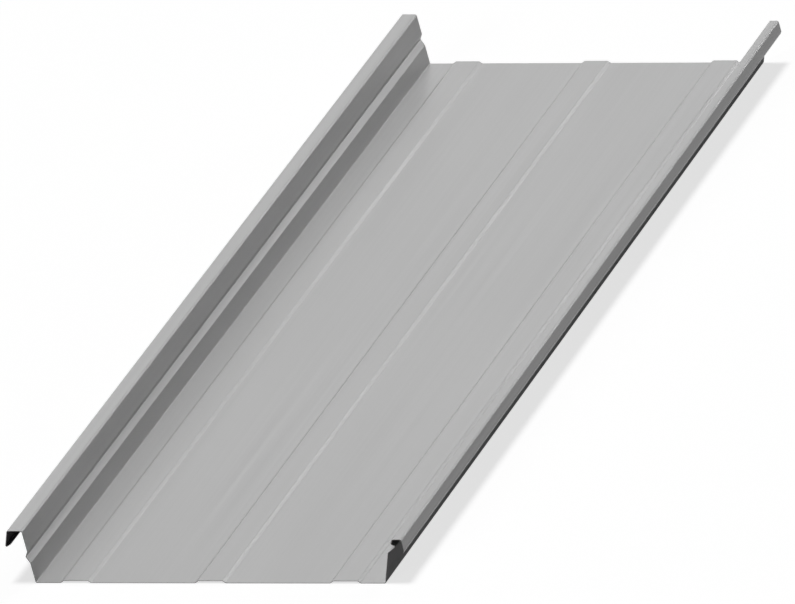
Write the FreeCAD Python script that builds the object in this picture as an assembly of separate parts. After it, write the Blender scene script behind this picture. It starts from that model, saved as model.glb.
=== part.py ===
import FreeCAD, Part
import math
import os
from collections import namedtuple

# Standing seam roof panel of the trapezoidal snap-lock kind, in millimetres and degrees.
# It is one sheet, roll formed to one profile over its whole length.
# +X runs across the panel from the overlapping rib to the underlapping rib,
# +Y runs along it and +Z is up. The pan's underside lies at Z = 0.
# Every height below is measured between the middles of the sheet's thickness.

# Panel
PANEL_LENGTH = 2000.0
COVER_WIDTH = 500.0  # from the foot of the web to the foot of the next panel's web
SHEET_THICKNESS = 0.7

# The rib that two neighbouring panels close between them
RIB_BASE_WIDTH = 37.0
RIB_HEIGHT = 70.0
RIB_TOP_WIDTH = 19.7
WEB_LEAN = 10.0  # of every web and flange, from upright

# Inside radii of the folds
FOLD_RADIUS = 1.0
SHOULDER_RADIUS = 2.3

# Stiffeners, which are low flat-topped waves in the pan
STIFFENER_COUNT = 3
STIFFENER_PITCH = 178.7
STIFFENER_BASE_WIDTH = 40.5
STIFFENER_TOP_WIDTH = 32.1
STIFFENER_HEIGHT = 3.0

# Overlapping rib: a locking bead in its web, and a hook that ends in an upturned hem
BEAD_FOOT_HEIGHT = 26.4
BEAD_LOWER_RISE = 8.8
BEAD_UPPER_RISE = 7.0
BEAD_DEPTH = 3.9
HOOK_DEPTH = 22.1
HEM_LENGTH = 8.8
HEM_SLOPE = 32.0  # from level

# Underlapping rib: a head with a nose over a groove on one side and a lipped flange on the other
HEAD_HEIGHT = 58.9
HEAD_WIDTH = 11.5
NOSE_DROP = 5.9
NOSE_REACH = 2.2
GROOVE_DROP = 9.5
GROOVE_DEPTH = 6.3
JOG_SLOPE = 37.5  # from level, of the face between the web and the groove
HEAD_FLANGE_DEPTH = 15.2
LIP_LENGTH = 3.1
LIP_LEAN = 25.0  # from upright, back under the head
SEAM_CLEARANCE = 0.25

Corner = namedtuple("Corner", "at inner_radius")
Bend = namedtuple("Bend", "centre hand radius heading_in heading_out")


def point(x, z):
    return FreeCAD.Vector(x, 0, z)


def heading(angle):
    """Unit vector in the profile's plane, at an angle from +X towards +Z."""
    return point(math.cos(math.radians(angle)), math.sin(math.radians(angle)))


def direction(start, end):
    return (end - start).normalize()


def left_of(way):
    """The direction turned a quarter to its left, which is the sheet's weather side."""
    return point(-way.z, way.x)


def bend_at(before, corner, after):
    """The arc of the sheet's middle line that rounds a corner off."""
    heading_in = direction(before.at, corner.at)
    heading_out = direction(corner.at, after.at)
    turn = math.asin(max(-1.0, min(1.0, left_of(heading_in).dot(heading_out))))
    if heading_in.dot(heading_out) < 0:
        turn = math.copysign(math.pi, turn) - turn
    hand = math.copysign(1.0, turn)
    radius = corner.inner_radius + SHEET_THICKNESS / 2
    start = corner.at - heading_in * (radius * math.tan(abs(turn) / 2))
    centre = start + left_of(heading_in) * (hand * radius)
    return Bend(centre, hand, radius, heading_in, heading_out)


def bends_of(corners):
    return [bend_at(*three) for three in zip(corners, corners[1:], corners[2:])]


def face_line(corners, offset):
    """Edges of one face of the sheet, which runs beside its middle line at an offset to the left."""
    bends = bends_of(corners)
    edges = []
    last = corners[0].at + left_of(bends[0].heading_in) * offset
    for bend in bends:
        radius = bend.radius - bend.hand * offset
        start = bend.centre - left_of(bend.heading_in) * (bend.hand * radius)
        end = bend.centre - left_of(bend.heading_out) * (bend.hand * radius)
        middle_way = direction(bend.centre, (start + end) * 0.5)
        middle = bend.centre + middle_way * radius
        edges.append(Part.LineSegment(last, start).toShape())
        edges.append(Part.Arc(start, middle, end).toShape())
        last = end
    tip = corners[-1].at + left_of(bends[-1].heading_out) * offset
    edges.append(Part.LineSegment(last, tip).toShape())
    return edges, tip


def sheet_section(corners):
    """The face that the sheet's middle line makes at its thickness, with square-cut edges."""
    weather_side, weather_tip = face_line(corners, SHEET_THICKNESS / 2)
    under_side, under_tip = face_line(corners, -SHEET_THICKNESS / 2)
    weather_start = weather_side[0].Vertexes[0].Point
    under_start = under_side[0].Vertexes[0].Point
    edges = [
        *weather_side,
        Part.LineSegment(weather_tip, under_tip).toShape(),
        *reversed(under_side),
        Part.LineSegment(under_start, weather_start).toShape(),
    ]
    return Part.Face(Part.Wire(edges))


def on_overlap_web(height):
    """The overlapping rib's web, which leans outward from its foot at X = 0."""
    return point(-height * math.tan(math.radians(WEB_LEAN)), height)


def on_head_flange(height):
    """The underlapping rib's flange, which the next panel's web covers with the seam's clearance."""
    web = on_overlap_web(height)
    gap = (SHEET_THICKNESS + SEAM_CLEARANCE) / math.cos(math.radians(WEB_LEAN))
    return point(web.x + COVER_WIDTH - gap, height)


def underlap_corners():
    """From the foot of the web, over the head to the lip."""
    shoulder = on_head_flange(HEAD_HEIGHT)
    brow = shoulder - point(HEAD_WIDTH, 0)
    nose = brow - point(NOSE_REACH, NOSE_DROP)
    groove = point(nose.x + GROOVE_DEPTH, HEAD_HEIGHT - GROOVE_DROP)
    flange_end = on_head_flange(HEAD_HEIGHT - HEAD_FLANGE_DEPTH)
    lip_end = flange_end + heading(-90 - LIP_LEAN) * LIP_LENGTH

    # The jog runs down from the groove at its own slope until it meets the web.
    foot = point(COVER_WIDTH - RIB_BASE_WIDTH, 0)
    web = heading(90 - WEB_LEAN)
    jog = heading(JOG_SLOPE)
    to_groove = groove - foot
    web_length = to_groove.cross(jog).y / web.cross(jog).y
    jog_start = foot + web * web_length

    return [
        Corner(foot, FOLD_RADIUS),
        Corner(jog_start, FOLD_RADIUS),
        Corner(groove, FOLD_RADIUS),
        Corner(nose, FOLD_RADIUS),
        Corner(brow, FOLD_RADIUS),
        Corner(shoulder, SHOULDER_RADIUS),
        Corner(flange_end, FOLD_RADIUS),
        Corner(lip_end, 0),
    ]


def overlap_corners():
    """From the end of the hem, over the rib's top to the foot of the web."""
    shoulder = on_overlap_web(RIB_HEIGHT)
    hook_top = shoulder - point(RIB_TOP_WIDTH, 0)
    flange = heading(-90 - WEB_LEAN)
    hook_bottom = hook_top + flange * (HOOK_DEPTH / math.cos(math.radians(WEB_LEAN)))
    hem_end = hook_bottom + heading(HEM_SLOPE) * HEM_LENGTH
    bead_foot = on_overlap_web(BEAD_FOOT_HEIGHT)
    bead_crest = on_overlap_web(BEAD_FOOT_HEIGHT + BEAD_LOWER_RISE) - point(BEAD_DEPTH, 0)
    bead_head = on_overlap_web(BEAD_FOOT_HEIGHT + BEAD_LOWER_RISE + BEAD_UPPER_RISE)
    return [
        Corner(hem_end, 0),
        Corner(hook_bottom, FOLD_RADIUS),
        Corner(hook_top, FOLD_RADIUS),
        Corner(shoulder, SHOULDER_RADIUS),
        Corner(bead_head, FOLD_RADIUS),
        Corner(bead_crest, FOLD_RADIUS),
        Corner(bead_foot, FOLD_RADIUS),
        Corner(on_overlap_web(0), FOLD_RADIUS),
    ]


def stiffener_corners(centre):
    half_base = STIFFENER_BASE_WIDTH / 2
    half_top = STIFFENER_TOP_WIDTH / 2
    return [
        Corner(point(centre - half_base, 0), FOLD_RADIUS),
        Corner(point(centre - half_top, STIFFENER_HEIGHT), FOLD_RADIUS),
        Corner(point(centre + half_top, STIFFENER_HEIGHT), FOLD_RADIUS),
        Corner(point(centre + half_base, 0), FOLD_RADIUS),
    ]


def pan_corners():
    pan_middle = (COVER_WIDTH - RIB_BASE_WIDTH) / 2
    corners = []
    for number in range(STIFFENER_COUNT):
        steps = number - (STIFFENER_COUNT - 1) / 2
        corners += stiffener_corners(pan_middle + steps * STIFFENER_PITCH)
    return corners


def make_roof_panel():
    section = sheet_section(overlap_corners() + pan_corners() + underlap_corners())
    panel = section.extrude(FreeCAD.Vector(0, PANEL_LENGTH, 0))
    width = panel.BoundBox
    panel.translate(
        FreeCAD.Vector(-(width.XMin + width.XMax) / 2, -PANEL_LENGTH / 2, SHEET_THICKNESS / 2)
    )
    return panel


os.makedirs("parts", exist_ok=True)
roof_panel = make_roof_panel()
roof_panel.exportStep("parts/roof_panel.step")
print("valid", roof_panel.isValid(), "solids", len(roof_panel.Solids), roof_panel.BoundBox)
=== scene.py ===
import math

import bpy
from mathutils import Matrix, Vector

# A standing seam roof panel lying on a pale floor, in metres in the part's own frame.
# +X runs across the panel to its underlapping rib, +Y runs along it and +Z is up.

PANEL = "roof_panel"

# Camera: a very long lens, so that lines along the panel stay nearly parallel
LENS = 1250.0
SENSOR_WIDTH = 36.0
CAMERA_AZIMUTH = 16.513
CAMERA_ELEVATION = 19.037
CAMERA_ROLL = -5.600
CAMERA_DISTANCE = 36.071
AIM_RIGHT = -0.01075
AIM_UP = 0.01934
FURTHEST_SEEN = 200.0

# Stage
FLOOR_SIZE = 120.0
FLOOR_COLOUR = 0.42
FLOOR_GLOW = 0.72  # the part of the floor's pale look that doesn't take the shadow
FLOOR_BOUNCE_COLOUR = 0.10  # what the floor sends back onto the panel

# Light: distant lamps as direction towards the lamp, strength and spread in degrees.
# None of the low ones lies along the panel, where its mirror image would whiten the pan.
LAMPS = {
    "overhead": ((-0.13, 0.0, 0.992), 1.86, 16.0),
    "behind_left": ((-0.22, 0.91, 0.35), 0.05, 12.0),
    "behind_right": ((0.24, 0.90, 0.36), 0.22, 12.0),
    "skimming": ((0.42, 0.90, 0.13), 0.20, 9.0),
    "front_fill": ((-0.30, -0.90, 0.31), 0.25, 16.0),
}
AMBIENT = 0.01

# Top coat
COAT_COLOUR = (0.45, 0.45, 0.45)
COAT_ROUGHNESS = 0.38
COAT_SPECULAR = 0.5
COAT_STIPPLE = 0.00003  # depth in metres

# Backer coat on the under side, a little darker than the top coat: partly the backer's own colour,
# partly painted shade for the shaded under side
BACKER_AND_SHADE_COLOUR = (0.40, 0.40, 0.405)
BACKER_ROUGHNESS = 0.75
BACKER_SPECULAR = 0.15
BACKER_STIPPLE = 0.00004

# What both coats share. A scale is in cycles per metre, and a stretch under 1 draws
# the noise out along the panel.
NOISE_LOW, NOISE_HIGH = 0.3, 0.7  # between them lies nearly all of a noise's values
MOTTLE_SCALE = 5.0
MOTTLE_DETAIL = 3.0
MOTTLE_STRETCH = 0.4
MOTTLE_SHADE = (0.985, 1.015)
ROLL_LINE_SCALE = 260.0
ROLL_LINE_DETAIL = 4.0
ROLL_LINE_STRETCH = 0.004
ROLL_LINE_DEPTH = 0.00002
ROLL_LINE_STRENGTH = 0.25
ROUGHNESS_SWING = 0.04
STIPPLE_SCALE = 1400.0
STIPPLE_DETAIL = 2.0
STIPPLE_STRENGTH = 0.30

# Cut edges
BARE_COLOUR = (0.17, 0.17, 0.168)
BARE_METALLIC = 0.5
BARE_ROUGHNESS = 0.55
SHEAR_SCALE = 1800.0
SHEAR_DETAIL = 3.0
SHEAR_SHADE = (0.92, 1.05)
SHEAR_DEPTH = 0.00004
SHEAR_STRENGTH = 0.4

# The sheet's section
SAME_POINT_DIGITS = 5  # of a section point in metres
CUT_EDGE_TURN = 70.0  # degrees; every bend's facets turn less
WEATHER_SLOT, UNDER_SLOT, CUT_SLOT = range(3)


def named_node(tree, kind, **settings):
    node = tree.nodes.new(kind)
    for name, value in settings.items():
        setattr(node, name, value)
    return node


def view_axes(azimuth, elevation, roll):
    """Right, up and backward directions of a camera that looks at the origin."""
    a, e, r = (math.radians(angle) for angle in (azimuth, elevation, roll))
    back = Vector((math.sin(a) * math.cos(e), -math.cos(a) * math.cos(e), math.sin(e)))
    level = Vector((0, 0, 1)).cross(back).normalized()
    upward = back.cross(level)
    right = level * math.cos(r) + upward * math.sin(r)
    up = back.cross(right)
    return right, up, back


def make_camera():
    right, up, back = view_axes(CAMERA_AZIMUTH, CAMERA_ELEVATION, CAMERA_ROLL)
    data = bpy.data.cameras.new("camera")
    data.type = "PERSP"
    data.sensor_width = SENSOR_WIDTH
    data.lens = LENS
    data.clip_end = FURTHEST_SEEN
    camera = bpy.data.objects.new("camera", data)
    camera.matrix_world = Matrix((right, up, back)).transposed().to_4x4()
    camera.location = back * CAMERA_DISTANCE + right * AIM_RIGHT + up * AIM_UP
    bpy.context.scene.collection.objects.link(camera)
    bpy.context.scene.camera = camera


def make_sun(name, direction, strength, spread):
    """A distant lamp that shines from a direction, as wide as its spread in degrees."""
    data = bpy.data.lights.new(name, "SUN")
    data.energy = strength
    data.angle = math.radians(spread)
    lamp = bpy.data.objects.new(name, data)
    lamp.rotation_mode = "QUATERNION"
    lamp.rotation_quaternion = Vector(direction).normalized().to_track_quat("Z", "Y")
    bpy.context.scene.collection.objects.link(lamp)


def mixed(tree, share, first, second):
    mix = named_node(tree, "ShaderNodeMixShader")
    tree.links.new(share, mix.inputs["Fac"])
    tree.links.new(first, mix.inputs[1])
    tree.links.new(second, mix.inputs[2])
    return mix.outputs["Shader"]


def seen_directly(tree):
    """1 for the camera's own rays and for reflections, 0 for light that falls on the panel."""
    path = named_node(tree, "ShaderNodeLightPath")
    shown = path.outputs["Is Camera Ray"]
    for kind in ("Is Glossy Ray", "Is Transmission Ray"):
        either = named_node(tree, "ShaderNodeMath", operation="MAXIMUM")
        tree.links.new(shown, either.inputs[0])
        tree.links.new(path.outputs[kind], either.inputs[1])
        shown = either.outputs["Value"]
    return shown


def make_world():
    """White for the camera and for reflections, and a dim even light on the panel."""
    world = bpy.data.worlds.new("studio")
    world.use_nodes = True
    tree = world.node_tree
    tree.nodes.clear()
    light = named_node(tree, "ShaderNodeBackground")
    light.inputs["Strength"].default_value = AMBIENT
    white = named_node(tree, "ShaderNodeBackground")
    white.inputs["Color"].default_value = (1, 1, 1, 1)
    output = named_node(tree, "ShaderNodeOutputWorld")
    seen = mixed(
        tree, seen_directly(tree), light.outputs["Background"], white.outputs["Background"]
    )
    tree.links.new(seen, output.inputs["Surface"])
    bpy.context.scene.world = world


def matt_floor(tree, brightness):
    matt = named_node(tree, "ShaderNodeBsdfDiffuse")
    matt.inputs["Color"].default_value = (brightness, brightness, brightness, 1)
    return matt.outputs["BSDF"]


def floor_material():
    """Pale matt floor that keeps the panel's shadow and is white outside it."""
    material = bpy.data.materials.new("floor")
    material.use_nodes = True
    tree = material.node_tree
    tree.nodes.clear()
    glow = named_node(tree, "ShaderNodeEmission")
    glow.inputs["Strength"].default_value = FLOOR_GLOW
    pale = named_node(tree, "ShaderNodeAddShader")
    tree.links.new(glow.outputs["Emission"], pale.inputs[0])
    tree.links.new(matt_floor(tree, FLOOR_COLOUR), pale.inputs[1])
    bounce = matt_floor(tree, FLOOR_BOUNCE_COLOUR)
    output = named_node(tree, "ShaderNodeOutputMaterial")
    seen = mixed(tree, seen_directly(tree), bounce, pale.outputs["Shader"])
    tree.links.new(seen, output.inputs["Surface"])
    return material


def make_floor():
    half = FLOOR_SIZE / 2
    corners = [(-half, -half, 0), (half, -half, 0), (half, half, 0), (-half, half, 0)]
    mesh = bpy.data.meshes.new("floor")
    mesh.from_pydata(corners, [], [(0, 1, 2, 3)])
    mesh.materials.append(floor_material())
    floor = bpy.data.objects.new("floor", mesh)
    bpy.context.scene.collection.objects.link(floor)


def stretched_noise(tree, place, scale, detail, along=1.0):
    """Noise over the panel's own coordinates, drawn out along Y where along is small."""
    mapping = named_node(tree, "ShaderNodeMapping")
    mapping.inputs["Scale"].default_value = (1.0, along, 1.0)
    noise = named_node(tree, "ShaderNodeTexNoise")
    noise.inputs["Scale"].default_value = scale
    noise.inputs["Detail"].default_value = detail
    tree.links.new(place.outputs["Object"], mapping.inputs["Vector"])
    tree.links.new(mapping.outputs["Vector"], noise.inputs["Vector"])
    return noise.outputs["Fac"]


def ranged(tree, value, low, high):
    """A noise's value spread over a range."""
    spread = named_node(tree, "ShaderNodeMapRange")
    spread.inputs["From Min"].default_value = NOISE_LOW
    spread.inputs["From Max"].default_value = NOISE_HIGH
    spread.inputs["To Min"].default_value = low
    spread.inputs["To Max"].default_value = high
    tree.links.new(value, spread.inputs["Value"])
    return spread.outputs["Result"]


def bumped(tree, height, distance, strength, below=None):
    bump = named_node(tree, "ShaderNodeBump")
    bump.inputs["Distance"].default_value = distance
    bump.inputs["Strength"].default_value = strength
    tree.links.new(height, bump.inputs["Height"])
    if below is not None:
        tree.links.new(below, bump.inputs["Normal"])
    return bump.outputs["Normal"]


def shaded_colour(tree, colour, shade):
    """The colour times a shade close to 1."""
    tint = named_node(tree, "ShaderNodeVectorMath", operation="SCALE")
    tint.inputs[0].default_value = colour
    tree.links.new(shade, tint.inputs["Scale"])
    return tint.outputs["Vector"]


def coat_material(name, colour, roughness, specular, stipple):
    """Coil-coated steel: fine stipple, faint lines from the forming rolls, slight mottling."""
    material = bpy.data.materials.new(name)
    material.use_nodes = True
    tree = material.node_tree
    shader = tree.nodes["Principled BSDF"]
    place = named_node(tree, "ShaderNodeTexCoord")
    mottle = stretched_noise(tree, place, MOTTLE_SCALE, MOTTLE_DETAIL, along=MOTTLE_STRETCH)
    shade = ranged(tree, mottle, *MOTTLE_SHADE)
    roll_lines = stretched_noise(
        tree, place, ROLL_LINE_SCALE, ROLL_LINE_DETAIL, along=ROLL_LINE_STRETCH
    )
    grain = stretched_noise(tree, place, STIPPLE_SCALE, STIPPLE_DETAIL)
    gloss = ranged(tree, roll_lines, roughness - ROUGHNESS_SWING, roughness + ROUGHNESS_SWING)
    lined = bumped(tree, roll_lines, ROLL_LINE_DEPTH, ROLL_LINE_STRENGTH)
    stippled = bumped(tree, grain, stipple, STIPPLE_STRENGTH, below=lined)
    tree.links.new(shaded_colour(tree, colour, shade), shader.inputs["Base Color"])
    tree.links.new(gloss, shader.inputs["Roughness"])
    tree.links.new(stippled, shader.inputs["Normal"])
    shader.inputs["Specular IOR Level"].default_value = specular
    return material


def bare_material():
    """The sheet's cut edges: bare steel, finely torn by the shear."""
    material = bpy.data.materials.new("cut_edge")
    material.use_nodes = True
    tree = material.node_tree
    shader = tree.nodes["Principled BSDF"]
    place = named_node(tree, "ShaderNodeTexCoord")
    shear = stretched_noise(tree, place, SHEAR_SCALE, SHEAR_DETAIL)
    shade = ranged(tree, shear, *SHEAR_SHADE)
    torn = bumped(tree, shear, SHEAR_DEPTH, SHEAR_STRENGTH)
    tree.links.new(shaded_colour(tree, BARE_COLOUR, shade), shader.inputs["Base Color"])
    tree.links.new(torn, shader.inputs["Normal"])
    shader.inputs["Metallic"].default_value = BARE_METALLIC
    shader.inputs["Roughness"].default_value = BARE_ROUGHNESS
    return material


def profile_point(corner):
    """Where a corner of the mesh lies in the panel's section."""
    return (round(corner.x, SAME_POINT_DIGITS), round(corner.z, SAME_POINT_DIGITS))


def section_outline(mesh):
    """The section's points in order round the sheet."""
    neighbours = {}
    for polygon in mesh.polygons:
        ends = {profile_point(mesh.vertices[i].co) for i in polygon.vertices}
        if len(ends) == 2:
            first, second = ends
            neighbours.setdefault(first, set()).add(second)
            neighbours.setdefault(second, set()).add(first)
    outline = [min(neighbours)]
    while len(outline) < len(neighbours):
        outline.append(next(p for p in sorted(neighbours[outline[-1]]) if p not in outline))
    return outline


def turn_at(outline, i):
    """How sharply the outline turns at a point, in degrees."""
    before, point, after = outline[i - 1], outline[i], outline[(i + 1) % len(outline)]
    come = math.atan2(point[1] - before[1], point[0] - before[0])
    go = math.atan2(after[1] - point[1], after[0] - point[0])
    return abs(math.degrees(math.remainder(go - come, math.tau)))


def sheet_sides(outline):
    """The section points of the weather side and of the under side, which meet at two cut edges."""
    sharp = (i for i in range(len(outline)) if turn_at(outline, i) > CUT_EDGE_TURN)
    hem_start, hem_end, lip_start, lip_end = sharp
    sides = [outline[hem_end:lip_start + 1], outline[lip_end:] + outline[:hem_start + 1]]
    return sorted(sides, key=lambda side: -max(z for x, z in side))


def dress_panel(panel):
    """Puts the top coat, the backer coat (a little darker, partly painted shade) and bare metal on
    their own faces of the sheet.
    """
    mesh = panel.data
    weather_side, under_side = (set(side) for side in sheet_sides(section_outline(mesh)))
    mesh.materials.clear()
    for coat in (
        ("top_coat", COAT_COLOUR, COAT_ROUGHNESS, COAT_SPECULAR, COAT_STIPPLE),
        # the backer coat's darker grey is partly painted shade on the under side
        ("backer_coat_and_shade", BACKER_AND_SHADE_COLOUR, BACKER_ROUGHNESS, BACKER_SPECULAR, BACKER_STIPPLE),
    ):
        mesh.materials.append(coat_material(*coat))
    mesh.materials.append(bare_material())
    for polygon in mesh.polygons:
        ends = {profile_point(mesh.vertices[i].co) for i in polygon.vertices}
        if len(ends) == 2 and ends <= weather_side:
            polygon.material_index = WEATHER_SLOT
        elif len(ends) == 2 and ends <= under_side:
            polygon.material_index = UNDER_SLOT
        else:
            polygon.material_index = CUT_SLOT


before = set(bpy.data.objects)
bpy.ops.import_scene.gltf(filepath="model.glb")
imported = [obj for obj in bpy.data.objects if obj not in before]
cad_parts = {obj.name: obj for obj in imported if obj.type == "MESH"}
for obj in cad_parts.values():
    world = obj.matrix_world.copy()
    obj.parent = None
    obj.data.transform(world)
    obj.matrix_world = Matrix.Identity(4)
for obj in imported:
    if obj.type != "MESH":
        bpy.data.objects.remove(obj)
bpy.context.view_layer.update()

make_camera()
make_world()
for lamp_name, (direction, strength, spread) in LAMPS.items():
    make_sun(lamp_name, direction, strength, spread)
make_floor()
dress_panel(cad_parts[PANEL])

bpy.context.scene.view_settings.view_transform = "Standard"
